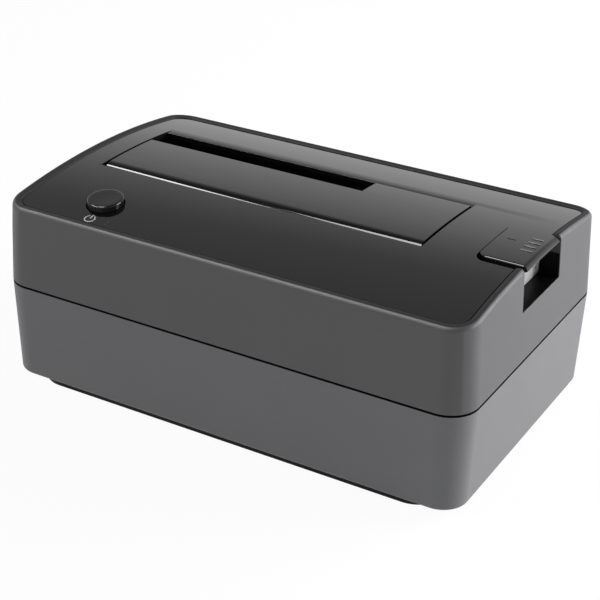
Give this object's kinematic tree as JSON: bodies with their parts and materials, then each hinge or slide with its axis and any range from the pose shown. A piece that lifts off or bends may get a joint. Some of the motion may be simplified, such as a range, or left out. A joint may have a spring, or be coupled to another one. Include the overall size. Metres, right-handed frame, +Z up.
{
  "type": "hard drive docking station",
  "caption": "Top-loading desktop dock for SATA drives: two-part case with a crowned gloss top, a sprung bay flap, a power button and an eject key that lifts the drive.",
  "frame": {"origin": "middle of the footprint, on the table under the rubber feet", "axes": "+X to the right along the front, +Y from the front to the back, +Z up"},
  "size_m": [0.145, 0.09, 0.0585],
  "materials": {
    "case_plastic": "fine-grained matte moulding",
    "gloss_plastic": "piano gloss",
    "well_plastic": "satin moulding",
    "lever_plastic": "satin moulding",
    "steel": "ground",
    "spring_steel": "drawn wire",
    "board": "solder mask",
    "connector_plastic": "satin moulding",
    "contact_plating": "plated",
    "port_shell": "bright tin plate",
    "port_insert": "satin moulding",
    "plunger_plastic": "satin moulding",
    "clear_plastic": "clear moulding",
    "light": "clear resin",
    "chip_resin": "moulded resin",
    "ferrite": "sintered",
    "can_metal": "bright",
    "rubber": "matte"
  },
  "bodies": {
    "case": {"lower_shell": "case_plastic", "upper_shell": "case_plastic", "top_plate": "gloss_plastic", "drive_well": "well_plastic", "flap_pin": "steel", "power_switch": "connector_plastic", "rocker_pin": "steel", "return_spring": "spring_steel", "main_board": "board", "sata_connector": "connector_plastic", "sata_contacts": "contact_plating", "usb_port": "port_shell", "usb_insert": "port_insert", "dc_jack": "connector_plastic", "dc_pin": "steel", "status_led": "light", "light_pipe": "clear_plastic", "bridge_chip": "chip_resin", "power_coil": "ferrite", "capacitors": "can_metal", "crystal": "can_metal", "board_screws": "steel", "well_screws": "steel", "case_screws": "steel", "rubber_feet": "rubber"},
    "flap": {"flap": "gloss_plastic", "flap_spring": "spring_steel"},
    "power_button": {"power_button": "gloss_plastic", "switch_plunger": "plunger_plastic"},
    "eject_key": {"eject_key": "gloss_plastic"},
    "lifter": {"lift_rocker": "lever_plastic"}
  },
  "joints": [
    {"name": "flap_hinge", "type": "hinge", "parent": "case", "child": "flap", "pos_m": [0, -0.0074, 0.05469], "axis": [-1, 0, 0], "range_deg": [0, 88], "stiffness_Nm_per_rad": 0.01, "springref_deg": -34.38, "deforming": ["flap_spring"]},
    {"name": "button_press", "type": "slide", "parent": "case", "child": "power_button", "axis": [0, 0, -1], "range_m": [0, 0.0015], "stiffness_N_per_m": 600, "springref_m": -0.0005},
    {"name": "eject_press", "type": "slide", "parent": "case", "child": "eject_key", "axis": [0, 0, -1], "range_m": [0, 0.0045], "stiffness_N_per_m": 400, "springref_m": -0.002},
    {"name": "rocker_tilt", "type": "hinge", "parent": "case", "child": "lifter", "pos_m": [0.03601, 0.0135, 0.0074], "axis": [0, 1, 0], "range_deg": [0, 10.6], "deforming": ["return_spring"]}
  ],
  "couplings": [
    {"joint": "rocker_tilt", "follows": "eject_press", "rad_per_m": 40.8}
  ]
}
